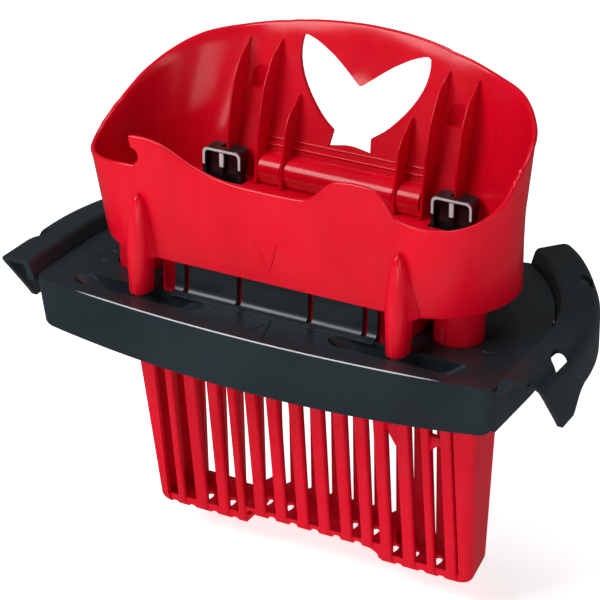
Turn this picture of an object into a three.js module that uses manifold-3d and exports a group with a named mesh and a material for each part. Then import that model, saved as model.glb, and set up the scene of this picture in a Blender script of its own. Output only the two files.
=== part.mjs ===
// Press wringer insert for a flat-mop bucket.
// A black frame hangs on the bucket's rim by two side hooks. A red carriage, made of a
// funnel and a slatted basket, slides down in it against two coil springs.
// Millimetres, +Z up, +X to the user's right, -Y towards the user.

import * as THREE from 'three';
import { mergeVertices } from 'three/addons/utils/BufferGeometryUtils.js';
import Module from 'manifold-3d';

const wasm = await Module();
wasm.setup();

// ---------------------------------------------------------------- driving dimensions
// Design axes: y = 0 on the line through the deck's front corners, z = 0 on the deck.

const WALL = 2.4; // general moulded wall
const GAP = 0.3; // gap between pieces that touch

const DECK = { half: 118, bow: 9.3, thick: 2.5, back: 122, corner: 6 };
const SKIRT = { depth: 28, sideDepth: 24, draft: 2.2 };
const RIM = { arcX: 13, arcY: 42, arcR: 108, endAngle: 51, top: 7, width: 17.5, endWidth: 20 };
const APRON = { bottom: -15, toothTip: -26, toothFrom: 27.5, toothTo: 40 };

const COLLAR = { half: 52, y: 18.4, thick: 3, top: 15.4, slits: [18.3, 46], slitWidth: 2.6 };
const TROUGH = { x: 67, half: 37, y: 9.6, halfWidth: 5.9, lift: 9 };

const FUNNEL = { bottom: 17.5, floor: 30, floorThick: 2.5, rows: 5 };
const POST = { x: 66, y: 9.6, foot: 0.4, peak: 49 };
const FIN = { thick: 2, xs: [60, 43, 29.3], tips: [93.5, 94.5, 72], fronts: [79.3, 77, 76.5] };

const CHUTE = { narrow: 63.5, wide: 80, front: 24.6, step: 57, back: 72 };
const BASKET = { top: -22.4, bottom: -139, front: 36.7, back: 75.2, frontHalf: 91, backHalf: 87.5, corner: 5 };
const BASKET_LOW = { front: 52.6, back: 79.6, frontHalf: 85.5, backHalf: 81.5, midBottom: -132.5, midHalf: 36 };
const SLAT = { topZ: -34, bottomZ: -133.5, backMiddleZ: -127.5, backSideZ: -131 };
const FRONT_GAPS = [
  [-79.6, -74.2], [-70.4, -63.8], [-57.6, -51], [-45.4, -39.9], [-35.9, -29.9], [-24.2, -18.4], [-12.7, -6.4],
  [-0.6, 5.2], [11.1, 17.3], [23.1, 28.4], [34.2, 38.5], [44.3, 50.4], [56.6, 63], [67.1, 73],
];
const BACK_GAPS = [
  [-72.5, -66.7], [-60.3, -54.6], [-50.5, -44.8], [-39.3, -33.6], [-29.5, -23.8], [-17.8, -12.1], [-6.3, -0.6],
  [5.4, 11.1], [16.9, 22.6], [28.8, 34.5], [38.4, 44.1], [50, 55.7], [61.2, 67],
];
const FLOOR_HOLE = { y: 65, halfX: 2.4, halfY: 4.2, shift: 2 };

const TOWER = { x: 60.1, half: 10.35, front: 75, top: 47.5, neck: 33, neckBack: 79.6, headBack: 84.4 };
const STATION = { x: 82, y: 40, sleeveR: 11.7, sleeveBore: 9.8, cupR: 13.7, cupBore: 12.3 };
const CUP = { bottom: -22, floor: 2 };
const SPRING = { meanR: 7.6, wireR: 0.8, turns: 7 };
const SCREW = { shaft: 1.2, hole: 1.5, head: 2.9, headHeight: 1.9 };
const CUP_LUGS = [[100, 37.5], [80, 21.2]];
const BASKET_TABS = [[59, 20.6], [84.8, 64.5]];

// ---------------------------------------------------------------- solid helpers

function solidOf(geometry) {
  const bare = geometry.index ? geometry.toNonIndexed() : geometry.clone();
  bare.deleteAttribute('normal');
  bare.deleteAttribute('uv');
  const merged = mergeVertices(bare, 1e-4);
  return new wasm.Manifold(new wasm.Mesh({
    numProp: 3,
    vertProperties: new Float32Array(merged.attributes.position.array),
    triVerts: new Uint32Array(merged.index.array),
  }));
}

function geometryOf(solid) {
  const mesh = solid.getMesh();
  const geometry = new THREE.BufferGeometry();
  geometry.setAttribute('position', new THREE.BufferAttribute(mesh.vertProperties, 3));
  geometry.setIndex(new THREE.BufferAttribute(mesh.triVerts, 1));
  geometry.computeVertexNormals();
  return geometry;
}

function block(x0, x1, y0, y1, z0, z1) {
  const box = new THREE.BoxGeometry(x1 - x0, y1 - y0, z1 - z0);
  box.translate((x0 + x1) / 2, (y0 + y1) / 2, (z0 + z1) / 2);
  return solidOf(box);
}

function extrudeOutline(points, depth) {
  const shape = new THREE.Shape(points.map(([a, b]) => new THREE.Vector2(a, b)));
  return new THREE.ExtrudeGeometry(shape, { depth, bevelEnabled: false });
}

// Outline in x and y, standing between two heights.
function prismZ(points, z0, z1) {
  const geometry = extrudeOutline(points, z1 - z0);
  geometry.translate(0, 0, z0);
  return solidOf(geometry);
}

// Outline in y and z, lying between two x places.
function prismX(points, x0, x1) {
  const geometry = extrudeOutline(points, x1 - x0);
  geometry.rotateX(Math.PI / 2);
  geometry.rotateZ(Math.PI / 2);
  geometry.translate(x0, 0, 0);
  return solidOf(geometry);
}

// Outline in x and z, lying between two y places.
function prismY(points, y0, y1) {
  const geometry = extrudeOutline(points, y1 - y0);
  geometry.rotateX(Math.PI / 2);
  geometry.translate(0, y1, 0);
  return solidOf(geometry);
}

function rod(radius, x, y, z0, z1, sides = 28) {
  const geometry = new THREE.CylinderGeometry(radius, radius, z1 - z0, sides);
  geometry.rotateX(Math.PI / 2);
  geometry.translate(x, y, (z0 + z1) / 2);
  return solidOf(geometry);
}

function rodX(radius, y, z, x0, x1, sides = 24) {
  const geometry = new THREE.CylinderGeometry(radius, radius, x1 - x0, sides);
  geometry.rotateZ(Math.PI / 2);
  geometry.translate((x0 + x1) / 2, y, z);
  return solidOf(geometry);
}

function rodY(radius, x, z, y0, y1, sides = 20) {
  const geometry = new THREE.CylinderGeometry(radius, radius, y1 - y0, sides);
  geometry.translate(x, (y0 + y1) / 2, z);
  return solidOf(geometry);
}

function capTriangles(ring) {
  const normal = new THREE.Vector3();
  ring.forEach((p, i) => {
    const q = ring[(i + 1) % ring.length];
    normal.x += (p.y - q.y) * (p.z + q.z);
    normal.y += (p.z - q.z) * (p.x + q.x);
    normal.z += (p.x - q.x) * (p.y + q.y);
  });
  normal.normalize();
  const across = new THREE.Vector3(1, 0, 0);
  if (Math.abs(normal.x) > 0.8) across.set(0, 1, 0);
  across.cross(normal).normalize();
  const along = new THREE.Vector3().crossVectors(normal, across);
  const flat = ring.map((p) => new THREE.Vector2(p.dot(across), p.dot(along)));
  return THREE.ShapeUtils.triangulateShape(flat, []);
}

// Skin over a row of rings with the same number of points. A closed row joins its last
// ring to its first, as round a hoop; an open one is capped at both ends.
function skin(rings, closed = false) {
  const count = rings[0].length;
  const positions = rings.flat().flatMap((p) => [p.x, p.y, p.z]);
  const faces = [];
  const rows = closed ? rings.length : rings.length - 1;
  for (let row = 0; row < rows; row += 1) {
    const a = row * count;
    const b = ((row + 1) % rings.length) * count;
    for (let i = 0; i < count; i += 1) {
      const j = (i + 1) % count;
      faces.push([a + i, a + j, b + j], [a + i, b + j, b + i]);
    }
  }
  if (!closed) {
    const last = (rings.length - 1) * count;
    capTriangles(rings[0]).forEach(([i, j, k]) => faces.push([k, j, i]));
    capTriangles(rings[rings.length - 1]).forEach(([i, j, k]) => faces.push([last + i, last + j, last + k]));
  }
  const geometry = new THREE.BufferGeometry();
  geometry.setAttribute('position', new THREE.Float32BufferAttribute(positions, 3));
  const outward = signedVolume(positions, faces) > 0;
  geometry.setIndex(faces.flatMap(([i, j, k]) => (outward ? [i, j, k] : [i, k, j])));
  return solidOf(geometry);
}

function signedVolume(positions, faces) {
  const at = (i) => new THREE.Vector3(...positions.slice(3 * i, 3 * i + 3));
  return faces.reduce((sum, [i, j, k]) => sum + at(i).dot(at(j).cross(at(k))) / 6, 0);
}

function mirrored(points) {
  return points.map(([x, ...rest]) => [-x, ...rest]).reverse();
}

// Adds the mirror image of a right-hand outline, both read from front to back.
function symmetric(points) {
  return [...points, ...mirrored(points)];
}

function union(solids) {
  return solids.reduce((sum, piece) => sum.add(piece));
}

// ---------------------------------------------------------------- frame

const bowAt = (x) => -DECK.bow * (1 - (x / DECK.half) ** 2);

// Inner line of the rim hook: straight beside the deck, then curving in to the back.
function rimLine(steps) {
  const line = [];
  for (let i = 0; i <= 4; i += 1) line.push([RIM.arcX + RIM.arcR, (RIM.arcY * i) / 4, 1, 0]);
  for (let i = 1; i <= steps; i += 1) {
    const angle = THREE.MathUtils.degToRad((RIM.endAngle * i) / steps);
    const c = Math.cos(angle);
    const s = Math.sin(angle);
    line.push([RIM.arcX + RIM.arcR * c, RIM.arcY + RIM.arcR * s, c, s]);
  }
  return line;
}

function deckOutline(inset) {
  const half = DECK.half - inset;
  const front = [];
  for (let i = 0; i <= 12; i += 1) {
    const x = ((half - DECK.corner) * i) / 12;
    front.push([x, bowAt(x) + inset]);
  }
  const corner = [[half - 1.6, 1 + inset], [half, DECK.corner - 0.5]];
  const side = rimLine(8).slice(1).map(([x, y, nx, ny]) => [x - (3 + inset) * nx, y - (3 + inset) * ny]);
  const right = [...front, ...corner, ...side, [side[side.length - 1][0] - 6, DECK.back - inset]];
  return symmetric(right).slice(0, -1);
}

function ring3(points, z) {
  return points.map(([x, y]) => new THREE.Vector3(x, y, z));
}

function skirtRing(inset) {
  return deckOutline(inset).map(([x, y]) => {
    const side = Math.min(1, Math.abs(x) / DECK.half);
    const depth = THREE.MathUtils.lerp(SKIRT.depth, SKIRT.sideDepth, side ** 2);
    return new THREE.Vector3(x, y, -depth);
  });
}

function deckShell() {
  const outside = skin([ring3(deckOutline(0), 0), skirtRing(SKIRT.draft)]);
  const inside = prismZ(deckOutline(WALL + SKIRT.draft), -SKIRT.depth - 5, -DECK.thick);
  return outside.subtract(inside);
}

// Section of the hook across the rim line: offset outwards, height.
function hookSection(low, w) {
  const t = RIM.top;
  return [
    [-3.2, -DECK.thick], [-0.4, t - 1], [0.8, t], [w - 5, t], [w - 1.6, t - 1.8], [w, 1.5],
    [w + 0.2, low], [w + 0.2 - WALL, low], [w - WALL, 1.2], [w - 3.6, t - 3.8],
    [w - 5.4, t - 2.4], [2.4, t - 2.4], [0.4, -DECK.thick],
  ];
}

// What is cut off a hook's apron to leave the tooth near its front, outline in y and z.
const APRON_CUT = [
  [2, 12], [2, 4.6], [APRON.toothFrom, APRON.toothTip], [APRON.toothTo, APRON.toothTip + 1],
  [APRON.toothTo + 4.5, APRON.toothTip + 7.5], [APRON.toothTo + 12, APRON.bottom], [150, APRON.bottom],
  [150, -40], [-8, -40], [-8, 12],
];

function hook(side) {
  const rings = rimLine(10).map(([x, y, nx, ny]) => {
    const turned = THREE.MathUtils.smoothstep(Math.asin(ny), 0.55, THREE.MathUtils.degToRad(RIM.endAngle));
    const width = THREE.MathUtils.lerp(RIM.width, RIM.endWidth, turned);
    return hookSection(APRON.toothTip - 1, width)
      .map(([d, z]) => new THREE.Vector3(side * (x + d * nx), y + d * ny, z));
  });
  const flange = RIM.arcX + RIM.arcR + RIM.width - 3;
  const frontEnd = prismX(APRON_CUT, side > 0 ? flange : -150, side > 0 ? 150 : -flange);
  const lowEdge = block(side > 0 ? 20 : -150, side > 0 ? 150 : -20, APRON.toothTo + 12, 150, -40, APRON.bottom);
  const bevel = frontEnd.add(lowEdge);
  const house = [[130, 31], [130.6, 37], [134.5, 36.7], [142, 33], [142, 22], [139.5, 18.3], [133, 25]];
  const square = [[110.4, 109.6], [115.6, 110.4], [120.2, 102], [114.8, 100]];
  const place = (points) => points.map(([x, y]) => [side * x, y]);
  return skin(rings)
    .subtract(bevel)
    .subtract(prismZ(place(house), 2, 12))
    .subtract(prismZ(place(square), 2, 12));
}

function trough(side) {
  const upper = boat(side * TROUGH.x, TROUGH.half, TROUGH.halfWidth, 1);
  const lower = boat(side * TROUGH.x, TROUGH.half - 12, TROUGH.halfWidth - 0.6, -TROUGH.lift);
  return skin([upper, lower]);
}

// Pointed oval with its long way along x.
function boat(x, half, width, z) {
  const outline = [
    [half, 0], [half - 5, width], [-half + 5, width], [-half, 0], [-half + 5, -width], [half - 5, -width],
  ];
  return outline.map(([dx, dy]) => new THREE.Vector3(x + dx, TROUGH.y + dy, z));
}

function troughWalls(side) {
  const outline = boat(side * TROUGH.x, TROUGH.half - 9, TROUGH.halfWidth + 1.2, 0);
  return prismZ(outline.map((p) => [p.x, p.y]), -TROUGH.lift, -1);
}

function throatOutline(clear) {
  return symmetric([
    [COLLAR.half + 0.4, CHUTE.front - 3.2], [COLLAR.half + 0.4, 16.6], [CHUTE.narrow + clear, 16.6],
    [CHUTE.narrow + clear, CHUTE.step - clear], [CHUTE.wide + clear + 0.6, CHUTE.step - clear],
    [CHUTE.wide + clear + 0.6, CHUTE.back + clear],
  ]);
}

function collar() {
  const wall = block(-COLLAR.half, COLLAR.half, COLLAR.y, COLLAR.y + COLLAR.thick, -DECK.thick, COLLAR.top);
  const foot = [
    [COLLAR.y - 4.6, -0.6], [COLLAR.y - 4.6, 0.1], [COLLAR.y - 1.6, 1.1], [COLLAR.y, 3.6], [COLLAR.y + 1, 3.6],
    [COLLAR.y + 1, -0.6],
  ];
  const fillet = prismX(foot, -COLLAR.half, COLLAR.half);
  return wall.add(fillet);
}

function collarSlits() {
  const slits = COLLAR.slits.flatMap((x) => [-x, x]).map((x) => {
    const [x0, x1] = [x - COLLAR.slitWidth / 2, x + COLLAR.slitWidth / 2];
    const back = COLLAR.y + 8;
    const runOut = block(x0, x1, COLLAR.y + 0.6, back, -DECK.thick - 2, 1);
    return block(x0, x1, COLLAR.y - 6, back, 0.8, 40).add(runOut);
  });
  return union(slits);
}

function trayFrame() {
  const bosses = [];
  const holes = [collarSlits()];
  for (const side of [-1, 1]) {
    bosses.push(troughWalls(side));
    for (const [x, y] of CUP_LUGS) {
      bosses.push(rod(3.6, side * x, y, -8.5, -1, 16));
      holes.push(rod(SCREW.hole, side * x, y, -9, -2, 12));
    }
    holes.push(trough(side));
    holes.push(rod(STATION.cupBore, side * STATION.x, STATION.y, -4, 2, 32));
    holes.push(rod(SCREW.hole, side * TOWER.x, TOWER.front + 2.4, -4, 2, 12));
  }
  return deckShell()
    .add(hook(1))
    .add(hook(-1))
    .add(union(bosses))
    .subtract(prismZ(throatOutline(1.6), -4, 2))
    .add(collar())
    .subtract(union(holes));
}

// ---------------------------------------------------------------- guide towers

function guideTower(side) {
  const { half, front, top, neck, neckBack, headBack } = TOWER;
  const face = [
    [-half, GAP], [half, GAP], [half, top - 3], [half - 0.9, top - 0.9], [half - 3, top],
    [3 - half, top], [0.9 - half, top - 0.9], [-half, top - 3],
  ];
  const profile = [[front, GAP], [neckBack, GAP], [neckBack, neck], [headBack, top], [front, top]];
  const body = prismY(face, front, headBack + 1).intersect(prismX(profile, -half - 1, half + 1));
  const pocket = block(1.7 - half, half - 1.7, front - 1, front + 2, 19, top - 1.6);
  const rib = block(-0.75, 0.75, front, front + 2.2, neck + 2, top - 1);
  const groove = block(-2.3, 2.3, front + 3.3, headBack + 2, -1, top + 1);
  const pilot = rod(SCREW.hole, 0, front + 2.4, -1, 11, 12);
  const solid = body.subtract(pocket).add(rib).subtract(groove).subtract(pilot);
  return solid.translate([side * TOWER.x, 0, 0]);
}

// ---------------------------------------------------------------- funnel

// Rim height at each station round the funnel. A station is 0..1 along the front,
// 1..2 round the front corner, 2..3 along the side, 3..4 round the back corner and
// 4..5 along the back to the middle. The left end has the hooked notch.
const RIM_RIGHT = [
  [0, 63.3], [0.13, 63.4], [0.25, 63.9], [0.32, 66.7], [0.37, 71], [0.41, 74.2], [0.47, 76.4], [0.57, 77.2],
  [0.67, 76.8], [0.73, 75], [0.78, 71.6], [0.82, 68], [0.86, 64.7], [0.93, 63.1], [1.1, 62.4], [1.25, 62.6],
  [1.38, 63.4], [1.5, 65], [1.62, 67.4], [1.75, 70.7], [1.88, 74.6], [2, 78.6], [3, 83.5], [3.12, 88],
  [3.18, 90.2], [3.24, 91.4], [3.36, 92.9], [3.42, 94.4], [3.48, 96], [3.55, 97.5], [3.63, 98.4], [3.72, 99.1],
  [3.8, 100.2], [3.9, 102.1], [4.07, 105], [4.3, 106.8], [4.6, 108],
];
const RIM_LEFT = [
  [0.12, 63.4], [0.24, 63.9], [0.34, 65], [0.43, 66.7], [0.5, 68.6], [0.57, 71.4], [0.65, 74.6], [0.73, 76.7],
  [0.8, 77.5], [0.87, 77.4], [0.91, 76.6], [0.93, 62.9], [1.05, 62.3], [1.19, 61.6], [1.33, 60.9], [1.5, 60],
  [1.64, 59.5], [1.77, 59.7], [1.9, 61.2], [2, 62.8], [3, 64.4], [3.08, 67.4], [3.16, 71.3], [3.24, 76.2],
  [3.3, 80.2], [3.36, 83.8], [3.42, 87.3], [3.48, 90.4], [3.55, 93.7], [3.63, 96.5], [3.7, 98.2], [3.8, 100.1],
  [3.95, 103.1], [4.07, 104.8], [4.3, 106.4], [4.6, 107.8],
];
const RIM_BACK = [5, 108.6];
const NOTCH = { x: -69.4, z: 67.3, radius: 4.2 };

function funnelPlan(z) {
  const rise = (z - FUNNEL.bottom) / 81.5;
  const half = 103 + 5.5 * rise;
  const front = 13 - 5 * rise;
  const frontR = 40.5 - 14.5 * rise;
  const back = Math.max(87.5, 109.5 + 0.373 * (z - 100));
  const backR = Math.min(back - front - frontR, 34.5 + 30 * rise);
  return { half, front, frontR, back, backR };
}

function funnelPoint(station, z, inset = 0) {
  const { half, front, frontR, back, backR } = funnelPlan(z);
  const turn = (THREE.MathUtils.clamp(station % 1 || (station > 0 ? 1 : 0), 0, 1) * Math.PI) / 2;
  const sin = Math.sin(turn);
  const cos = Math.cos(turn);
  if (station <= 1) return [(half - frontR) * station, front + inset];
  if (station <= 2) {
    const r = frontR - inset;
    return [half - frontR + r * sin, front + frontR - r * cos];
  }
  if (station <= 3) {
    const y = THREE.MathUtils.lerp(front + frontR, back - backR, station - 2);
    return [half - inset, y];
  }
  if (station <= 4) {
    const r = backR - inset;
    return [half - backR + r * cos, back - backR + r * sin];
  }
  return [(half - backR) * (5 - station), back - inset];
}

function funnelShell() {
  const left = RIM_LEFT.map(([s, z]) => [s, z, -1]).reverse();
  const right = RIM_RIGHT.map(([s, z]) => [s, z, 1]);
  const stations = [...left, ...right, [...RIM_BACK, 1]];
  const rings = stations.map(([s, top, side]) => {
    const ring = [];
    for (let row = 0; row <= FUNNEL.rows; row += 1) {
      const z = THREE.MathUtils.lerp(FUNNEL.bottom, top, row / FUNNEL.rows);
      const [x, y] = funnelPoint(s, z);
      ring.push(new THREE.Vector3(side * x, y, z));
    }
    for (let row = FUNNEL.rows; row >= 0; row -= 1) {
      const z = THREE.MathUtils.lerp(FUNNEL.bottom, top, row / FUNNEL.rows);
      const [x, y] = funnelPoint(s, z, WALL);
      ring.push(new THREE.Vector3(side * x, y, z));
    }
    return ring;
  });
  return skin(rings, true);
}

function chuteOutline(grow) {
  return symmetric([
    [CHUTE.narrow + grow, CHUTE.front - grow], [CHUTE.narrow + grow, CHUTE.step - grow],
    [CHUTE.wide + grow, CHUTE.step - grow], [CHUTE.wide + grow, CHUTE.back + grow],
  ]);
}

function funnelFloor() {
  const stations = [0.5, 1, 1.2, 1.4, 1.6, 1.8, 2, 3.2, 3.4, 3.6, 3.8, 4, 4.5];
  const outline = symmetric(stations.map((s) => funnelPoint(s, FUNNEL.floor + 1, WALL / 2)));
  const plate = prismZ(outline, FUNNEL.floor, FUNNEL.floor + FUNNEL.floorThick);
  const slots = [-1, 1].map((side) => block(
    side * TOWER.x - TOWER.half - 1.2, side * TOWER.x + TOWER.half + 1.2,
    TOWER.front - 1.4, TOWER.neckBack + 1.6,
    FUNNEL.floor - 1, FUNNEL.floor + 4,
  ));
  const opening = prismZ(chuteOutline(-2.4), FUNNEL.floor - 1, FUNNEL.floor + 4);
  return plate.subtract(opening).subtract(union(slots));
}

function backFins() {
  const wallAt = (z) => funnelPlan(z).back - WALL / 2;
  return union(FIN.xs.flatMap((x, i) => [-x, x].map((at) => prismX([
    [FIN.fronts[i], FUNNEL.floor + 1], [wallAt(FUNNEL.floor), FUNNEL.floor + 1], [wallAt(42), 42],
    [wallAt(FIN.tips[i]), FIN.tips[i]], [FIN.fronts[i] + 3.2, 56], [FIN.fronts[i] + 0.6, 46],
  ], at - FIN.thick / 2, at + FIN.thick / 2))));
}

function handleWindow() {
  const right = [
    [11, 53.6], [10, 60.6], [14.8, 63.8], [21.4, 70], [27.8, 78], [31.6, 85], [33.4, 92],
    [33.2, 98.6], [31, 99.8], [26, 98.6], [19.5, 95.4], [12, 91], [5.4, 86.4],
  ];
  return prismY([...right, [0, 82], ...mirrored(right)], 78, 128);
}

function postRing(side, z, r, width, wallY) {
  const arc = [];
  for (let i = 0; i <= 8; i += 1) {
    const angle = Math.PI + (Math.PI * i) / 8;
    arc.push([r * Math.cos(angle), POST.y + r * Math.sin(angle)]);
  }
  return [...arc, [width, wallY], [-width, wallY]]
    .map(([x, y]) => new THREE.Vector3(side * POST.x + x, y, z));
}

function frontPost(side) {
  const wallAt = (z) => funnelPlan(z).front + 1;
  const body = skin([
    postRing(side, POST.foot, 4.9, 4.9, 14.4),
    postRing(side, FUNNEL.bottom, 5.3, 5.6, 14.4),
    postRing(side, FUNNEL.bottom + 0.5, 5.3, 9.6, wallAt(18)),
    postRing(side, 30, 4.5, 7.4, wallAt(30)),
    postRing(side, 40, 3.2, 4.4, wallAt(40)),
    postRing(side, POST.peak, 0.5, 0.8, wallAt(POST.peak)),
  ]);
  return body.add(rod(1.3, side * POST.x, POST.y - 2.4, POST.foot - 1.4, POST.foot + 1, 12));
}

function pressFunnel() {
  const bar = rodX(6, 81.4, 39.4, -44, 44).intersect(block(-50, 50, 70, 86, 20, 60));
  const tabScrews = BASKET_TABS.flatMap(([x, y]) => [[-x, y], [x, y]]);
  const sleeveScrews = [[-STATION.x, STATION.y], [STATION.x, STATION.y]];
  const spots = [...tabScrews, ...sleeveScrews];
  const bosses = spots.map(([x, y]) => rod(3.2, x, y, FUNNEL.floor + 0.5, FUNNEL.floor + 6.5, 16));
  const pilots = spots.map(([x, y]) => rod(SCREW.hole, x, y, FUNNEL.floor - 1, FUNNEL.floor + 5.2, 12));
  return funnelShell()
    .subtract(handleWindow())
    .subtract(rodY(NOTCH.radius, NOTCH.x, NOTCH.z, 0, 20))
    .add(funnelFloor())
    .add(backFins())
    .add(bar)
    .add(frontPost(-1))
    .add(frontPost(1))
    .add(union(bosses))
    .subtract(union(pilots));
}

// ---------------------------------------------------------------- basket

function basketBody(inset, top, bottom) {
  const ring = (z) => {
    const share = (z - BASKET.bottom) / (BASKET.top - BASKET.bottom);
    const mix = (key) => THREE.MathUtils.lerp(BASKET_LOW[key], BASKET[key], share);
    const front = mix('front') + inset;
    const wide = mix('frontHalf') - inset;
    const cut = BASKET.corner - inset;
    const right = [[wide - cut, front], [wide - cut * 0.3, front + cut * 0.3], [wide, front + cut]];
    return symmetric([...right, [mix('backHalf') - inset, mix('back') - inset]])
      .map(([x, y]) => new THREE.Vector3(x, y, z));
  };
  return skin([ring(bottom), ring(top)]);
}

function slots() {
  const gaps = [];
  const nearMiddle = (x) => Math.abs(x) < BASKET_LOW.midHalf + 3;
  for (const [x0, x1] of FRONT_GAPS) {
    const middle = (x0 + x1) / 2;
    const low = nearMiddle(middle) ? BASKET_LOW.midBottom + 3.8 : SLAT.bottomZ;
    gaps.push(block(x0, x1, 20, 58, low, SLAT.topZ));
    if (Math.abs(middle) > 12 && Math.abs(middle) < 73) gaps.push(floorHole(middle + FLOOR_HOLE.shift));
  }
  for (const [x0, x1] of BACK_GAPS) {
    const low = nearMiddle((x0 + x1) / 2) ? SLAT.backMiddleZ : SLAT.backSideZ;
    gaps.push(block(x0, x1, 68, 90, low, SLAT.topZ));
  }
  return union(gaps);
}

function floorHole(x) {
  const outline = [];
  for (let i = 0; i < 12; i += 1) {
    const angle = (Math.PI * i) / 6;
    outline.push([x + FLOOR_HOLE.halfX * Math.cos(angle), FLOOR_HOLE.y + FLOOR_HOLE.halfY * Math.sin(angle)]);
  }
  return prismZ(outline, BASKET.bottom - 2, BASKET.bottom + 14);
}

function slattedBasket() {
  const shoulder = { top: BASKET.top, thick: 2.4 };
  const shell = basketBody(0, BASKET.top, BASKET.bottom)
    .subtract(basketBody(3, BASKET.top - shoulder.thick, BASKET.bottom + 3));
  const step = BASKET_LOW.midHalf + 3;
  const raised = basketBody(1, BASKET_LOW.midBottom + 3, BASKET.bottom + 1)
    .intersect(block(-step, step, 30, 90, BASKET.bottom, 0));
  const arch = block(-BASKET_LOW.midHalf, BASKET_LOW.midHalf, 30, 90, BASKET.bottom - 5, BASKET_LOW.midBottom);
  const chuteTop = FUNNEL.floor - GAP;
  const chute = prismZ(chuteOutline(0), BASKET.top - 1, chuteTop);
  const bore = prismZ(chuteOutline(-2.4), BASKET.top - 8, chuteTop + 1);
  const guides = COLLAR.slits.flatMap((x) => [-x, x]).map((x) => (
    block(x - 0.8, x + 0.8, COLLAR.y + 1, CHUTE.front + 1, 2, chuteTop)
  ));
  const tabs = BASKET_TABS.flatMap(([x, y]) => [[-x, y], [x, y]]).map(([x, y]) => {
    const inX = Math.sign(x) * (Math.abs(x) > 70 ? CHUTE.wide - 1 : Math.abs(x));
    const inY = Math.abs(x) > 70 ? y : CHUTE.front + 1;
    const arm = block(
      Math.min(x, inX) - 3.6, Math.max(x, inX) + 3.6, Math.min(y, inY) - 3.6, Math.max(y, inY) + 0.6,
      chuteTop - 3, chuteTop,
    );
    return arm.add(rod(3.6, x, y, chuteTop - 3, chuteTop, 16));
  });
  const holes = BASKET_TABS.flatMap(([x, y]) => [[-x, y], [x, y]])
    .map(([x, y]) => rod(SCREW.hole, x, y, chuteTop - 5, chuteTop + 1, 12));
  return shell
    .add(raised)
    .subtract(arch)
    .subtract(slots())
    .add(chute)
    .add(union(guides))
    .add(union(tabs))
    .subtract(bore)
    .subtract(union(holes));
}

// ---------------------------------------------------------------- spring stations

function springSleeve(side) {
  const top = FUNNEL.floor - GAP;
  const x = side * STATION.x;
  return rod(STATION.sleeveR, x, STATION.y, -1.5, top, 32)
    .subtract(rod(STATION.sleeveBore, x, STATION.y, -3, top - 2.5, 32))
    .subtract(rod(SCREW.hole, x, STATION.y, top - 4, top + 1, 12));
}

function springCup(side) {
  const x = side * STATION.x;
  const top = -DECK.thick - GAP;
  const barrel = rod(STATION.cupR, x, STATION.y, CUP.bottom, top, 32);
  const lugs = CUP_LUGS.map(([lx, ly]) => {
    const from = new THREE.Vector2(x, STATION.y);
    const to = new THREE.Vector2(side * lx, ly);
    const across = to.clone().sub(from).normalize().rotateAround(new THREE.Vector2(), Math.PI / 2);
    const corners = [
      [from, 3.6], [to, 3.6], [to, -3.6], [from, -3.6],
    ].map(([p, w]) => [p.x + across.x * w, p.y + across.y * w]);
    return prismZ(corners, -11.8, -8.8).add(rod(3.6, to.x, to.y, -11.8, -8.8, 16));
  });
  const holes = CUP_LUGS.map(([lx, ly]) => rod(SCREW.hole, side * lx, ly, -14, -6, 12));
  return barrel
    .add(union(lugs))
    .subtract(rod(STATION.cupBore, x, STATION.y, CUP.bottom + CUP.floor, top + 1, 32))
    .subtract(rod(2, x, STATION.y, CUP.bottom - 1, CUP.bottom + 4, 12))
    .subtract(union(holes));
}

function returnSpring(side) {
  const bottom = CUP.bottom + CUP.floor + GAP + SPRING.wireR;
  const top = FUNNEL.floor - GAP - 2.5 - GAP - SPRING.wireR;
  const steps = SPRING.turns * 14;
  const rings = [];
  for (let i = 0; i <= steps; i += 1) {
    const angle = (SPRING.turns * 2 * Math.PI * i) / steps;
    const z = THREE.MathUtils.lerp(bottom, top, i / steps);
    const ring = [];
    for (let k = 0; k < 6; k += 1) {
      const tilt = (2 * Math.PI * k) / 6;
      const r = SPRING.meanR + SPRING.wireR * Math.cos(tilt);
      ring.push(new THREE.Vector3(
        side * STATION.x + r * Math.cos(angle),
        STATION.y + r * Math.sin(angle),
        z + SPRING.wireR * Math.sin(tilt),
      ));
    }
    rings.push(ring);
  }
  return skin(rings);
}

// ---------------------------------------------------------------- screws

// Pan-head screw driven upwards: underside of its head at z.
function panScrew(x, y, z, length) {
  const { shaft, head, headHeight } = SCREW;
  const profile = [
    [0, -headHeight], [head - 0.8, -headHeight], [head, -headHeight + 0.8], [head, 0],
    [shaft, 0], [shaft, length - 0.6], [0.5, length], [0, length],
  ].map(([r, h]) => new THREE.Vector2(r, h));
  const geometry = new THREE.LatheGeometry(profile, 16);
  geometry.rotateX(Math.PI / 2);
  geometry.translate(x, y, z);
  return solidOf(geometry);
}

// ---------------------------------------------------------------- assembly

const FINISH = {
  red: { color: 0xd8041c, roughness: 0.28, metalness: 0 },
  black: { color: 0x2b3238, roughness: 0.42, metalness: 0 },
  tower: { color: 0x16191c, roughness: 0.35, metalness: 0 },
  steel: { color: 0xb9bcc0, roughness: 0.3, metalness: 1 },
};

const assembly = new THREE.Group();
assembly.name = 'press_wringer';
const frameGroup = new THREE.Group();
const carriageGroup = new THREE.Group();
assembly.add(frameGroup, carriageGroup);

function put(group, name, solid, finish) {
  const mesh = new THREE.Mesh(geometryOf(solid), new THREE.MeshStandardMaterial(FINISH[finish]));
  mesh.name = name;
  group.add(mesh);
}

put(frameGroup, 'tray_frame', trayFrame(), 'black');
put(carriageGroup, 'press_funnel', pressFunnel(), 'red');
put(carriageGroup, 'slatted_basket', slattedBasket(), 'red');

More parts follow.
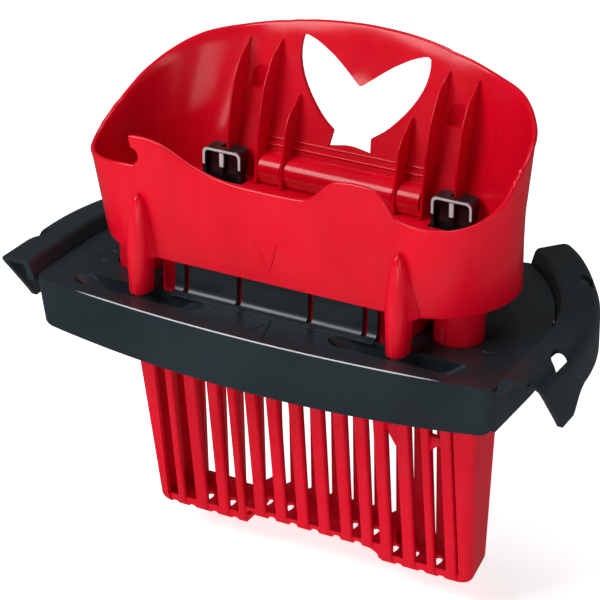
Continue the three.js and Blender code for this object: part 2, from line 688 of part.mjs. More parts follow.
for (const [label, side] of [['left', -1], ['right', 1]]) {
  const lugZ = -11.8 - GAP;
  const tabZ = FUNNEL.floor - GAP - 3 - GAP;
  put(frameGroup, `${label}_guide_tower`, guideTower(side), 'tower');
  const towerScrew = panScrew(side * TOWER.x, TOWER.front + 2.4, -DECK.thick - GAP, 12);
  put(frameGroup, `${label}_tower_screw`, towerScrew, 'steel');
  put(frameGroup, `${label}_spring_cup`, springCup(side), 'black');
  CUP_LUGS.forEach(([x, y], i) => {
    put(frameGroup, `${label}_cup_screw_${i + 1}`, panScrew(side * x, y, lugZ, 8.6), 'steel');
  });
  put(frameGroup, `${label}_return_spring`, returnSpring(side), 'steel');
  put(carriageGroup, `${label}_spring_sleeve`, springSleeve(side), 'red');
  const sleeveZ = FUNNEL.floor - GAP - 2.5 - GAP;
  put(carriageGroup, `${label}_sleeve_screw`, panScrew(side * STATION.x, STATION.y, sleeveZ, 7), 'steel');
  BASKET_TABS.forEach(([x, y], i) => {
    put(carriageGroup, `${label}_basket_screw_${i + 1}`, panScrew(side * x, y, tabZ, 7.4), 'steel');
  });
}

// The origin is under the middle of the whole object, on the surface that it stands on.
const box = new THREE.Box3().setFromObject(assembly);
assembly.position.set(0, -(box.min.y + box.max.y) / 2, -box.min.z);

export default assembly;
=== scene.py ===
"""Looks of the press wringer insert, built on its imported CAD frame.

Shapes are written in the part's design millimetres: x to the right, y backwards from the line through the
deck's front corners, z up from the deck. at() turns them into the frame's metres.
"""

import math

import bmesh
import bpy
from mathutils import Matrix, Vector


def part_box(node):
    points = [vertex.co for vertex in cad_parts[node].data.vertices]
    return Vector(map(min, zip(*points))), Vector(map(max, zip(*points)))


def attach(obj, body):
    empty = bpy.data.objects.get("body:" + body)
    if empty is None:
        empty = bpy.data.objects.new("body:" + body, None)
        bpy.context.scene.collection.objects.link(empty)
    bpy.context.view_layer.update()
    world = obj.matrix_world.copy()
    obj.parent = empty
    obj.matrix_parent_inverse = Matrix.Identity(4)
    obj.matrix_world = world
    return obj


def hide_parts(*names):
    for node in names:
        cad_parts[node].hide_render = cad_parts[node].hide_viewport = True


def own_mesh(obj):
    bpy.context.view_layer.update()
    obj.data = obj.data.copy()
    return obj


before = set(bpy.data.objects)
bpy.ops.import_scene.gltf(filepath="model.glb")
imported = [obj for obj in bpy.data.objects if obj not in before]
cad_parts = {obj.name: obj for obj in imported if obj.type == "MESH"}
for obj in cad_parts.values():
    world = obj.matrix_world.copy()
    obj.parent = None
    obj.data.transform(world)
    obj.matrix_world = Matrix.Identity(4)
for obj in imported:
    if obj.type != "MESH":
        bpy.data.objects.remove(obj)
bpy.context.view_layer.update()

tray_low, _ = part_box("tray_frame")
basket_low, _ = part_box("slatted_basket")
FRONT_BOW = 9.3
FOOT_Z = -139.0
Y_SHIFT = -FRONT_BOW - tray_low.y * 1000
Z_SHIFT = FOOT_Z - basket_low.z * 1000


def at(x, y, z):
    return Vector((x / 1000, (y - Y_SHIFT) / 1000, (z - Z_SHIFT) / 1000))


def lerp(a, b, t):
    return a + (b - a) * t


def ease(t):
    t = min(1.0, max(0.0, t))
    return t * t * (3 - 2 * t)


# ---------------------------------------------------------------- meshes
# A skin is (points, faces); points are design millimetres.

def volume(points, faces):
    total = 0.0
    for face in faces:
        a = Vector(points[face[0]])
        for i in range(1, len(face) - 1):
            total += a.dot(Vector(points[face[i]]).cross(Vector(points[face[i + 1]])))
    return total


def loft(rings, closed=False):
    """Skin over rings with the same number of points; closed joins the last ring to the first."""
    count = len(rings[0])
    points = [p for ring in rings for p in ring]
    faces = []
    rows = len(rings) if closed else len(rings) - 1
    for r in range(rows):
        a, b = r * count, ((r + 1) % len(rings)) * count
        for i in range(count):
            j = (i + 1) % count
            faces.append((a + i, a + j, b + j, b + i))
    if not closed:
        last = (len(rings) - 1) * count
        faces.append(tuple(reversed(range(count))))
        faces.append(tuple(last + i for i in range(count)))
    if volume(points, faces) < 0:
        faces = [tuple(reversed(f)) for f in faces]
    return points, faces


def prism_z(outline, z0, z1):
    return loft([[(x, y, z) for x, y in outline] for z in (z0, z1)])


def prism_x(outline, x0, x1):
    return loft([[(x, y, z) for y, z in outline] for x in (x0, x1)])


def prism_y(outline, y0, y1):
    return loft([[(x, y, z) for x, z in outline] for y in (y0, y1)])


def block(x0, x1, y0, y1, z0, z1):
    return prism_z([(x0, y0), (x1, y0), (x1, y1), (x0, y1)], z0, z1)


def lathe(profile, x, y, sides=64):
    """Solid of revolution about a vertical line; the profile's (r, z) points start and end on the axis."""
    inner = [p for p in profile if p[0] > 1e-6]
    points = [(x, y, profile[0][1]), (x, y, profile[-1][1])]
    for r, z in inner:
        points += [(x + r * math.cos(2 * math.pi * k / sides), y + r * math.sin(2 * math.pi * k / sides), z)
                   for k in range(sides)]
    faces = []
    for k in range(sides):
        n = (k + 1) % sides
        faces.append((0, 2 + n, 2 + k))
        for row in range(len(inner) - 1):
            a, b = 2 + row * sides, 2 + (row + 1) * sides
            faces.append((a + k, a + n, b + n, b + k))
        top = 2 + (len(inner) - 1) * sides
        faces.append((1, top + k, top + n))
    if volume(points, faces) < 0:
        faces = [tuple(reversed(f)) for f in faces]
    return points, faces


def ring_lathe(profile, x, y, sides=72):
    """Ring of revolution; the closed profile's (r, z) points never touch the axis."""
    rings = []
    for k in range(sides):
        a = 2 * math.pi * k / sides
        rings.append([(x + r * math.cos(a), y + r * math.sin(a), z) for r, z in profile])
    return loft(rings, closed=True)


def circle(r, n=24, cx=0.0, cy=0.0, squash=1.0):
    return [(cx + r * math.cos(2 * math.pi * k / n), cy + r * squash * math.sin(2 * math.pi * k / n))
            for k in range(n)]


def rounded(outline, radius, steps=4):
    """Outline with its corners rounded; radius is one number, or one for each corner."""
    out = []
    n = len(outline)
    for i, p in enumerate(outline):
        r = radius[i] if isinstance(radius, (list, tuple)) else radius
        before, corner, after = Vector(outline[i - 1]), Vector(p), Vector(outline[(i + 1) % n])
        a, b = (before - corner), (after - corner)
        cut = min(r, a.length * 0.45, b.length * 0.45)
        if cut < 0.05:
            out.append(tuple(corner))
            continue
        start, end = corner + a.normalized() * cut, corner + b.normalized() * cut
        for k in range(steps + 1):
            t = k / steps
            q = start * (1 - t) ** 2 + corner * 2 * t * (1 - t) + end * t ** 2
            out.append(tuple(q))
    return out


def joined(skins):
    points, faces = [], []
    for p, f in skins:
        base = len(points)
        points += p
        faces += [tuple(i + base for i in face) for face in f]
    return points, faces


def to_object(name, skin):
    points, faces = skin
    mesh = bpy.data.meshes.new(name)
    mesh.from_pydata([at(*p) for p in points], [], faces)
    mesh.update()
    obj = bpy.data.objects.new(name, mesh)
    bpy.context.scene.collection.objects.link(obj)
    return obj


def bake(obj):
    bpy.context.view_layer.update()
    graph = bpy.context.evaluated_depsgraph_get()
    mesh = bpy.data.meshes.new_from_object(obj.evaluated_get(graph))
    old = obj.data
    obj.modifiers.clear()
    obj.data = mesh
    bpy.data.meshes.remove(old)
    return obj


def combine(obj, skin, operation):
    tool = to_object("tool", skin)
    mod = obj.modifiers.new("boolean", "BOOLEAN")
    mod.operation = operation
    mod.solver = "MANIFOLD"
    mod.object = tool
    bake(obj)
    mesh = tool.data
    bpy.data.objects.remove(tool)
    bpy.data.meshes.remove(mesh)


def carved(name, base, cuts=(), adds=()):
    obj = to_object(name, base)
    for skin in adds:
        combine(obj, skin, "UNION")
    for skin in cuts:
        combine(obj, skin, "DIFFERENCE")
    return obj


def as_skin(obj):
    """The object's points and faces in design millimetres; the object itself is removed."""
    points = [(v.co.x * 1000, v.co.y * 1000 + Y_SHIFT, v.co.z * 1000 + Z_SHIFT) for v in obj.data.vertices]
    faces = [tuple(p.vertices) for p in obj.data.polygons]
    mesh = obj.data
    bpy.data.objects.remove(obj)
    bpy.data.meshes.remove(mesh)
    return points, faces


def soften(obj, width=0.4, segments=3, angle=32, flat=0.3):
    """Rounds the moulded edges and keeps the flats flat."""
    bm = bmesh.new()
    bm.from_mesh(obj.data)
    bmesh.ops.remove_doubles(bm, verts=bm.verts, dist=2e-6)
    if flat:
        bmesh.ops.dissolve_limit(bm, angle_limit=math.radians(flat), verts=bm.verts, edges=bm.edges)
    bm.to_mesh(obj.data)
    bm.free()
    if width:
        bevel = obj.modifiers.new("bevel", "BEVEL")
        bevel.width = width / 1000
        bevel.segments = segments
        bevel.limit_method = "ANGLE"
        bevel.angle_limit = math.radians(angle)
        bevel.use_clamp_overlap = True
        bevel.miter_outer = "MITER_ARC"
    for polygon in obj.data.polygons:
        polygon.use_smooth = True
    weigh = obj.modifiers.new("weigh", "WEIGHTED_NORMAL")
    weigh.keep_sharp = True
    bake(obj)
    return obj


def merge(name, objects):
    """Joins objects into one mesh, keeping each one's own normals and materials."""
    bpy.ops.object.select_all(action="DESELECT")
    for o in objects:
        o.select_set(True)
    bpy.context.view_layer.objects.active = objects[0]
    if len(objects) > 1:
        bpy.ops.object.join()
    objects[0].name = name
    objects[0].data.name = name
    return objects[0]


def paint(obj, material):
    obj.data.materials.clear()
    obj.data.materials.append(material)
    return obj


def place(obj, body, node):
    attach(obj, body)
    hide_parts(node)


# ---------------------------------------------------------------- materials

class Nodes:
    """Small helper round one material's node tree."""

    def __init__(self, name):
        self.material = bpy.data.materials.new(name)
        self.material.use_nodes = True
        self.tree = self.material.node_tree
        self.shader = self.tree.nodes["Principled BSDF"]
        self.coords = self.tree.nodes.new("ShaderNodeTexCoord").outputs["Object"]

    def link(self, out, into):
        self.tree.links.new(out, into)

    def noise(self, scale, detail=3.0, rough=0.55, stretch=None):
        made = self.tree.nodes.new("ShaderNodeTexNoise")
        made.inputs["Scale"].default_value = scale
        made.inputs["Detail"].default_value = detail
        made.inputs["Roughness"].default_value = rough
        source = self.coords
        if stretch:
            mapping = self.tree.nodes.new("ShaderNodeMapping")
            mapping.inputs["Scale"].default_value = stretch
            self.link(source, mapping.inputs["Vector"])
            source = mapping.outputs["Vector"]
        self.link(source, made.inputs["Vector"])
        return made.outputs["Fac"]

    def ramp(self, value, stops):
        made = self.tree.nodes.new("ShaderNodeValToRGB")
        made.color_ramp.elements[0].position = stops[0][0]
        made.color_ramp.elements[0].color = (*stops[0][1], 1)
        made.color_ramp.elements[1].position = stops[-1][0]
        made.color_ramp.elements[1].color = (*stops[-1][1], 1)
        for position, colour in stops[1:-1]:
            made.color_ramp.elements.new(position).color = (*colour, 1)
        self.link(value, made.inputs["Fac"])
        return made.outputs["Color"]

    def spread(self, value, low, high, start=0.3, end=0.7):
        made = self.tree.nodes.new("ShaderNodeMapRange")
        made.inputs["From Min"].default_value = start
        made.inputs["From Max"].default_value = end
        made.inputs["To Min"].default_value = low
        made.inputs["To Max"].default_value = high
        self.link(value, made.inputs["Value"])
        return made.outputs["Result"]

    def mix(self, factor, first, second):
        made = self.tree.nodes.new("ShaderNodeMix")
        made.data_type = "RGBA"
        self.link(factor, made.inputs["Factor"])
        for colour, socket in ((first, made.inputs["A"]), (second, made.inputs["B"])):
            if isinstance(colour, tuple):
                socket.default_value = (*colour, 1)
            else:
                self.link(colour, socket)
        return made.outputs["Result"]

    def bump(self, height, strength, distance, before=None):
        made = self.tree.nodes.new("ShaderNodeBump")
        made.inputs["Strength"].default_value = strength
        made.inputs["Distance"].default_value = distance
        self.link(height, made.inputs["Height"])
        if before:
            self.link(before, made.inputs["Normal"])
        return made.outputs["Normal"]


def red_plastic(name, deep, bright, gloss=(0.15, 0.25)):
    """Glossy injection-moulded red: flow marks, faint orange peel and hairline rubs."""
    n = Nodes(name)
    flow = n.noise(22, 4, 0.6, stretch=(1.0, 1.0, 0.35))
    colour = n.ramp(flow, [(0.3, deep), (0.55, bright), (0.8, tuple(c * 1.05 for c in bright))])
    rubs = n.noise(420, 2, 0.5, stretch=(1.0, 1.0, 0.08))
    colour = n.mix(n.spread(rubs, 0.0, 0.03, 0.62, 0.8), colour, (0.85, 0.25, 0.25))
    n.link(colour, n.shader.inputs["Base Color"])
    haze = n.noise(60, 5, 0.65)
    n.link(n.spread(haze, gloss[0], gloss[1]), n.shader.inputs["Roughness"])
    peel = n.noise(900, 2, 0.5)
    waves = n.noise(38, 2, 0.4)
    normal = n.bump(waves, 0.07, 0.001)
    n.link(n.bump(peel, 0.03, 0.0001, normal), n.shader.inputs["Normal"])
    n.shader.inputs["Specular IOR Level"].default_value = 0.36
    return n.material


def black_plastic(name, dark, light, gloss=(0.25, 0.36)):
    """Satin black: fine spark-erosion grain with slightly greyer rubbed patches."""
    n = Nodes(name)
    cloud = n.noise(16, 4, 0.6)
    colour = n.ramp(cloud, [(0.3, dark), (0.75, light)])
    dust = n.noise(1400, 2, 0.6)
    colour = n.mix(n.spread(dust, 0.0, 0.12, 0.6, 0.8), colour, tuple(c * 1.7 for c in light))
    n.link(colour, n.shader.inputs["Base Color"])
    n.link(n.spread(n.noise(70, 5, 0.6), gloss[0], gloss[1]), n.shader.inputs["Roughness"])
    broad = n.bump(n.noise(30, 2, 0.4), 0.1, 0.001)
    n.link(n.bump(n.noise(2600, 2, 0.6), 0.08, 0.00008, broad), n.shader.inputs["Normal"])
    n.shader.inputs["IOR"].default_value = 1.5
    return n.material


def painted_rim_sheen():
    """The towers' front rims, coloured pale green-grey as a painted sheen that stands in for the light
    reflected off their edges.
    """
    n = Nodes("tower_rim_painted_sheen")
    colour = n.ramp(n.noise(90, 3, 0.6), [(0.3, (0.6, 0.8, 0.8)), (0.75, (0.85, 0.98, 0.98))])
    n.link(colour, n.shader.inputs["Base Color"])
    n.link(n.spread(n.noise(240, 3, 0.6), 0.14, 0.3), n.shader.inputs["Roughness"])
    n.link(n.bump(n.noise(700, 2, 0.5), 0.08, 0.0001), n.shader.inputs["Normal"])
    return n.material


def steel(name, tint, gloss=(0.22, 0.4), lay=(1.0, 1.0, 1.0)):
    """Plated or drawn steel with fine lines and dull spots."""
    n = Nodes(name)
    colour = n.ramp(n.noise(120, 5, 0.7), [(0.3, tuple(c * 0.75 for c in tint)), (0.7, tint)])
    n.link(colour, n.shader.inputs["Base Color"])
    n.link(n.spread(n.noise(600, 3, 0.6, stretch=lay), gloss[0], gloss[1]), n.shader.inputs["Roughness"])
    n.link(n.bump(n.noise(2200, 2, 0.6, stretch=lay), 0.15, 0.00006), n.shader.inputs["Normal"])
    n.shader.inputs["Metallic"].default_value = 1.0
    return n.material


RED = red_plastic("funnel_red", (0.62, 0.0015, 0.012), (0.74, 0.002, 0.018))
# The basket's red is darker than the funnel's: the darkening is painted shade for where the basket sits under
# the tray.
RED_BASKET_SHADED = red_plastic("basket_red_shaded", (0.56, 0.001, 0.012), (0.68, 0.0014, 0.018), gloss=(0.16, 0.25))
BLACK = black_plastic("tray_black", (0.01, 0.016, 0.02), (0.018, 0.029, 0.035))
BLACK_TOWER = black_plastic("tower_black", (0.004, 0.005, 0.006), (0.009, 0.011, 0.013), gloss=(0.28, 0.4))
# Painted sheen for the towers' front rims.
RIM_SHEEN_PAINT = painted_rim_sheen()
# Painted highlight: a pale bead whose colour stands in for the bright reflection along the deck's front edge.
EDGE_HIGHLIGHT_PAINT = black_plastic("painted_edge_highlight", (0.42, 0.46, 0.48), (0.62, 0.66, 0.68), gloss=(0.2, 0.34))
WIRE = steel("spring_wire", (0.55, 0.56, 0.58), lay=(1.0, 1.0, 0.1))
ZINC = steel("screw_zinc", (0.66, 0.67, 0.7))


# ---------------------------------------------------------------- places that several pieces share

SLIT_XS = (-46, -18.3, 18.3, 46)
TOWER_X = 60.1
SPRING_X, SPRING_Y = 82, 40
LUGS = ((100, 37.5), (80, 21.2))
BOSSES = ((59, 20.6), (84.8, 64.5))


# ---------------------------------------------------------------- funnel

WALL = 2.4
FLOOR_Z = 30.0
SKIRT_Z = 17.5

# Rim heights as (s, z): s runs from the front wall's middle (0) round the front corner (1 to 2), the side
# (2 to 3) and the back corner (3 to 4) to the back wall's middle (5).
RIM_RIGHT = [
    (0, 63.3), (0.13, 63.4), (0.25, 63.9), (0.32, 66.7), (0.37, 71), (0.41, 74.2), (0.47, 76.4),
    (0.57, 77.2), (0.67, 76.8), (0.73, 75), (0.78, 71.6), (0.82, 68), (0.86, 64.7), (0.93, 63.1),
    (1.1, 62.4), (1.25, 62.6), (1.38, 63.4), (1.5, 65), (1.62, 67.4), (1.75, 70.7), (1.88, 74.8),
    (2, 78.6), (3, 83.5), (3.12, 88), (3.18, 90.2), (3.24, 91.3), (3.3, 92), (3.36, 92.8), (3.42, 94.4),
    (3.48, 96), (3.55, 97.5), (3.63, 98.4), (3.72, 99.1), (3.8, 100.2), (3.9, 102.1), (4.07, 105),
    (4.2, 106.1), (4.3, 106.8), (4.5, 107.8), (4.75, 108.4), (5, 108.6),
]
RIM_LEFT = [
    (0, 63.3), (0.12, 63.4), (0.24, 63.9), (0.34, 65), (0.43, 66.7), (0.5, 68.6), (0.57, 71.4),
    (0.65, 74.6), (0.73, 76.7), (0.8, 77.5), (0.87, 77.4), (0.905, 76.9), (0.918, 62.9), (1.05, 62.3),
    (1.19, 61.6), (1.33, 60.9), (1.5, 60), (1.64, 59.5), (1.77, 59.7), (1.9, 61.2), (2, 62.9),
    (2.5, 63.8), (3, 64.4), (3.04, 65.8), (3.08, 67.4), (3.12, 69.7), (3.16, 71.3), (3.2, 73.7),
    (3.24, 76.2), (3.3, 80.3), (3.36, 83.8), (3.42, 87.3), (3.48, 90.4), (3.55, 93.7), (3.63, 96.6),
    (3.7, 98.2), (3.8, 100.1), (3.9, 102.2), (3.95, 103.2), (4.07, 104.8), (4.2, 105.7), (4.3, 106.4),
    (4.5, 107.4), (4.75, 108.2), (5, 108.6),
]


def smooth_table(table, s):
    """Monotone cubic through the table's points: no dips that the points don't have."""
    k = 0
    while k < len(table) - 2 and s > table[k + 1][0]:
        k += 1

    def slope(i):
        if i <= 0 or i >= len(table) - 1:
            return 0.0
        h0, h1 = table[i][0] - table[i - 1][0], table[i + 1][0] - table[i][0]
        d0, d1 = (table[i][1] - table[i - 1][1]) / h0, (table[i + 1][1] - table[i][1]) / h1
        if d0 * d1 <= 0:
            return 0.0
        return 3 * (h0 + h1) / ((2 * h1 + h0) / d0 + (h1 + 2 * h0) / d1)

    (x0, y0), (x1, y1) = table[k], table[k + 1]
    h = x1 - x0
    t = (s - x0) / h
    return (y0 * (1 + 2 * t) * (1 - t) ** 2 + slope(k) * h * t * (1 - t) ** 2
            + y1 * t * t * (3 - 2 * t) + slope(k + 1) * h * t * t * (t - 1))


def back_wall(z):
    """Outer face of the back wall: upright at the foot, then leaning back."""
    lean = 109.5 + 0.373 * (z - 100)
    return 87.5 + math.log1p(math.exp((lean - 87.5) / 1.1)) * 1.1 - 0.4 * math.exp(-abs(lean - 87.5) / 1.6)


def funnel_plan(z):
    rise = (z - SKIRT_Z) / 81.5
    half = 103 + 5.5 * rise
    front = 13 - 5 * rise
    front_r = 40.5 - 14.5 * rise
    back = back_wall(z)
    back_r = min(back - front - front_r, 34.5 + 30 * rise)
    return half, front, front_r, back, back_r


def funnel_point(s, z, inset):
    half, front, front_r, back, back_r = funnel_plan(z)
    if s <= 1:
        return (half - front_r) * s, front + inset
    if s <= 2:
        a = (s - 1) * math.pi / 2
        r = front_r - inset
        return half - front_r + r * math.sin(a), front + front_r - r * math.cos(a)
    if s <= 3:
        return half - inset, lerp(front + front_r, back - back_r, s - 2)
    if s <= 4:
        a = (s - 3) * math.pi / 2
        r = back_r - inset
        return half - back_r + r * math.cos(a), back - back_r + r * math.sin(a)
    return (half - back_r) * (5 - s), back - inset


def dish(x, z):
    """Thumb hollow in the back wall above the window's point, with a crease up the middle."""
    across = max(0.0, 1 - abs(x) / 24)
    up = ease((z - 80) / 8) * (1 - ease((z - 96) / 12))
    return 0.9 * across * up


def stations():
    """Values of s along half the rim, closest together where its height changes fast."""
    steps = []
    spans = ((0, 0.86, 52), (0.86, 0.95, 18), (0.95, 2, 60), (2, 3, 10), (3, 4, 56), (4, 5, 46))
    for start, end, count in spans:
        steps += [lerp(start, end, k / count) for k in range(count)]
    return steps


def funnel_shell():
    places = [(s, 1) for s in stations()] + [(5, 1)] + [(s, -1) for s in reversed(stations())][:-1]
    rings = []
    for s, side in places:
        table = RIM_RIGHT if side > 0 else RIM_LEFT
        top = smooth_table(table, s)
        lip = 0.45 if s > 2.2 else 0.35
        r = WALL / 2
        profile = []
        rows = 26
        for k in range(rows + 1):
            profile.append((0.0, lerp(SKIRT_Z + 0.5, top - r, k / rows)))
        for k in range(1, 8):
            a = math.pi * k / 8
            profile.append((r - r * math.cos(a), top - r + r * math.sin(a)))
        for k in range(rows, -1, -1):
            profile.append((WALL, lerp(SKIRT_Z + 0.5, top - r, k / rows)))
        profile += [(WALL - 0.25, SKIRT_Z + 0.1), (WALL - 0.6, SKIRT_Z), (0.6, SKIRT_Z),
                    (0.25, SKIRT_Z + 0.1)]
        ring = []
        for inset, z in profile:
            flare = lip * ease((z - (top - 4.2)) / 3.4)
            x, y = funnel_point(s, z, inset - flare)
            if s > 3.6:
                y += dish(x, z)
            ring.append((side * x, y, z))
        rings.append(ring)
    return loft(rings, closed=True)


def window_cut():
    """V-shaped opening in the back wall, mirrored about its middle."""
    right = [
        (11, 53.6), (10, 60.6), (14.8, 63.8), (18.2, 66.7), (21.4, 70), (24.8, 73.9), (27.8, 78),
        (30, 81.6), (31.8, 85.6), (32.9, 89), (33.5, 92.6), (33.6, 96), (33.1, 99.2), (31.6, 100),
        (29.6, 99.7), (26, 98.5), (22.6, 97), (19.4, 95.2), (15.6, 93), (12, 90.5), (8.6, 88),
        (5.2, 85.4), (2.4, 83.3),
    ]
    left = [(-x, z) for x, z in reversed(right)]
    return prism_y(right + [(0.6, 82.2), (-0.6, 82.2)] + left + [(-2.6, 55), (1.5, 55)], 76, 130)


def fin(x, tip_z, points, thick):
    """Tapered rib on the back wall; points are (y, z) of its front edge from the foot up."""
    rings = []
    count = 26
    for k in range(count + 1):
        z = lerp(points[0][1], tip_z, (k / count) ** 0.85)
        front = smooth_table([(b, a) for a, b in points], z)
        wall = back_wall(z) - WALL
        t = thick * lerp(1.0, 0.35, ease((z - points[0][1]) / (tip_z - points[0][1])))
        front = min(front, wall + 0.2)
        nose = min(0.9, t * 0.6)
        ring = [(-t * 0.62, wall + 1.2), (-t * 0.54, wall - 0.5), (-t / 2, front + nose),
                (-t * 0.36, front + nose * 0.36), (0, front), (t * 0.36, front + nose * 0.36),
                (t / 2, front + nose), (t * 0.54, wall - 0.5), (t * 0.62, wall + 1.2)]
        rings.append([(x + dx, y, z) for dx, y in ring])
    return loft(rings)


# Each fin: x, height of its tip, (y, z) of its front edge, thickness. Both sides have the same three.
FINS = [
    (59.3, 95.4, [(80.0, 31), (80.0, 46), (80.2, 54), (81.6, 62), (84.4, 74), (87.9, 82.1), (93.0, 88.7),
                  (101, 95.4)], 2.0),
    (43.4, 96.2, [(77.0, 31), (77.9, 38), (80.4, 54), (82.0, 64), (85.8, 76.8), (90.9, 85), (96.3, 92),
                  (103.6, 96.2)], 2.1),
    (29.4, 73.8, [(76.4, 31), (77.2, 41), (80.4, 54), (82.2, 62), (86.5, 68), (93.6, 73.8)], 2.1),
]


def arch_outline(cx, half, base, top):
    points = [(cx - half, base), (cx + half, base)]
    spring = top - half * 1.15
    for k in range(13):
        a = math.pi * k / 12
        points.append((cx + half * math.cos(a), spring + half * 1.15 * math.sin(a)))
    return points


def post_ring(side, z, r, width, wall):
    arc = []
    for k in range(17):
        a = math.pi + math.pi * k / 16
        arc.append((r * math.cos(a), 9.6 + r * math.sin(a)))
    return [(side * 66 + side * x, y, z) for x, y in arc + [(width, wall), (-width, wall)]]


def front_post(side):
    """Half-round post that swells out of the front wall and ends in a rounded point."""
    rows = []
    for k in range(31):
        z = lerp(0.4, 48.9, k / 30)
        if z < SKIRT_Z:
            r, width, wall = lerp(4.8, 5.35, z / SKIRT_Z), lerp(4.8, 5.5, z / SKIRT_Z), 14.4
        else:
            t = (z - SKIRT_Z) / (48.9 - SKIRT_Z)
            r = 5.35 * math.sqrt(max(0.0, 1 - t ** 2.2)) + 0.12
            width = r + 3.8 * (1 - t) ** 1.6
            wall = funnel_plan(z)[1] + 1
        rows.append(post_ring(side, z, r, width, wall))
    foot = [(0, -1.2), (0.9, -1.2), (1.25, -0.8), (1.25, 1.4), (0, 1.4)]
    return [loft(rows), lathe(foot, side * 66, 7.4, 24)]


def chute_outline(grow):
    right = [(63.5 + grow, 24.6 - grow), (63.5 + grow, 57 - grow),
             (80 + grow, 57 - grow), (80 + grow, 72 + grow)]
    return right + [(-x, y) for x, y in reversed(right)]


def funnel_floor():
    marks = [0.0001, 0.3, 0.6, 1] + [1 + k / 10 for k in range(1, 11)]
    marks += [3 + k / 10 for k in range(1, 11)] + [4.4, 4.8]
    right = [funnel_point(s, 31, 1.2) for s in marks]
    outline = right + [(-x, y) for x, y in reversed(right)]
    cuts = [prism_z(rounded(chute_outline(-2.4), 1.5), 28, 36)]
    for side in (-1, 1):
        x = side * TOWER_X
        slot = [(x - 11.6, 73.6), (x + 11.6, 73.6), (x + 11.6, 81.2), (x - 11.6, 81.2)]
        cuts.append(prism_z(rounded(slot, 1.2), 28, 36))
    return carved("floor", prism_z(outline, FLOOR_Z, FLOOR_Z + 2.5), cuts)


def foot_bar():
    """The glossy half-round at the foot of the back wall, with the small ledges above it."""
    parts = []
    section = [(86.5, 33.0), (79.6, 33.2)]
    for k in range(15):
        a = math.radians(200 - 110 * k / 14)
        section.append((84.0 + 6.4 * math.cos(a), 39.8 + 6.4 * math.sin(a)))
    section += [(86.6, 46.6), (87.4, 46.2)]
    parts.append(prism_x(section, -28.3, 28.3))
    for side in (-1, 1):
        parts.append(prism_x(section, min(side * 30.6, side * 42.2), max(side * 30.6, side * 42.2)))
    for z, out in ((50.4, 1.3), (53.4, 0.8)):
        face = back_wall(z) - WALL
        ledge = [(face + 1.5, z - 2.0), (face - out * 0.3, z - 1.7), (face - out, z - 0.5),
                 (face - out * 0.8, z), (face + 1.5, z + 0.3)]
        parts.append(prism_x(ledge, -28.4, 28.4))
        for side in (-1, 1):
            parts.append(prism_x(ledge, min(side * 30.4, side * 42.4), max(side * 30.4, side * 42.4)))
    return parts


def crease(x0, z0, x1, z1, width, proud):
    """Faint raised moulding line on the funnel's front wall."""
    run = Vector((x1 - x0, z1 - z0)).normalized()
    side = Vector((-run.y, run.x)) * width
    rings = []
    for k in range(9):
        t = k / 8
        x, z = lerp(x0, x1, t), lerp(z0, z1, t)
        taper = math.sin(math.pi * min(0.98, max(0.02, t))) ** 0.5
        y = funnel_plan(z)[1]
        rings.append([(x - side.x * taper, y + 0.05, z - side.y * taper), (x, y - proud * taper, z),
                      (x + side.x * taper, y + 0.05, z + side.y * taper), (x, y + 1.2, z)])
    return loft(rings)


def build_funnel():
    notch_eye = prism_y(circle(4.2, 40, -69.4, 67.3), 0, 20)
    shell = carved("funnel", funnel_shell(), cuts=[window_cut(), notch_eye])
    for side in (-1, 1):
        cap = carved("cap", prism_y(arch_outline(side * 51, 6.7, 70.8, 85.2), 97.6, 103.0))
        lean = [(110, 62), (110, 95), (back_wall(95) - 0.4, 95), (back_wall(62) - 0.4, 62)]
        combine(cap, prism_x(lean, side * 51 - 12, side * 51 + 12), "INTERSECT")
        combine(shell, as_skin(cap), "UNION")
        combine(shell, prism_y(arch_outline(side * 51, 5.1, 72.6, 83.4), 90, 100.9), "DIFFERENCE")
    soften(shell, width=0.5, segments=3, angle=38, flat=0)
    extras = []
    skins = []
    for x, tip, points, thick in FINS:
        skins += [fin(side * x, tip, points, thick) for side in (-1, 1)]
    extras.append(soften(to_object("fins", joined(skins)), width=0, flat=0))
    extras.append(soften(to_object("bar", joined(foot_bar())), width=0.35, flat=0, angle=40))
    posts = joined(front_post(-1) + front_post(1))
    extras.append(soften(to_object("posts", posts), width=0.4, flat=0, angle=50))
    extras.append(soften(funnel_floor(), 0.5, 3))
    for side in (-1, 1):
        for x, y in ((SPRING_X, SPRING_Y), *BOSSES):
            boss = [(0, 30.5), (3.2, 30.5), (3.2, 36), (2.8, 36.5), (0, 36.5)]
            extras.append(soften(to_object("boss", lathe(boss, side * x, y, 40)), 0.3, 2))
    lines = joined([crease(-8.3, 39.6, -0.2, 26.7, 0.8, 0.5), crease(5.0, 40, 0.6, 24, 0.8, 0.5)])
    extras.append(soften(to_object("lines", lines), width=0, flat=0))
    funnel = merge("funnel_shell", [shell] + extras)
    paint(funnel, RED)
    place(funnel, "carriage", "press_funnel")


# ---------------------------------------------------------------- basket

# Left and right edge of each slat, and of each slot in the back wall.
SLATS = [
    (-74.2, -70.4), (-63.8, -57.6), (-51, -45.4), (-39.8, -35.9), (-30.1, -24.3), (-18.5, -12.7),
    (-6.4, -0.6), (5.2, 11.1), (17.3, 23.1), (28.4, 34.2), (38.5, 44.3), (50.4, 56.6), (63, 67.1),
    (73, 78.6),
]
BACK_SLOTS = [
    (-72.4, -67.2), (-60.5, -55.6), (-50.6, -45.4), (-39.2, -34.2), (-29, -23.9), (-17.4, -12.2),
    (-5.8, -0.7), (6, 11.2), (17.4, 22.6), (29.3, 34.5), (39, 44.1), (51, 56), (62, 67),
]
BASKET_TOP = -22.4
BASKET_MIDDLE = -132.5


def basket_share(z):
    return (z - FOOT_Z) / (BASKET_TOP - FOOT_Z)


def basket_front(z):
    return lerp(52.6, 36.7, basket_share(z))


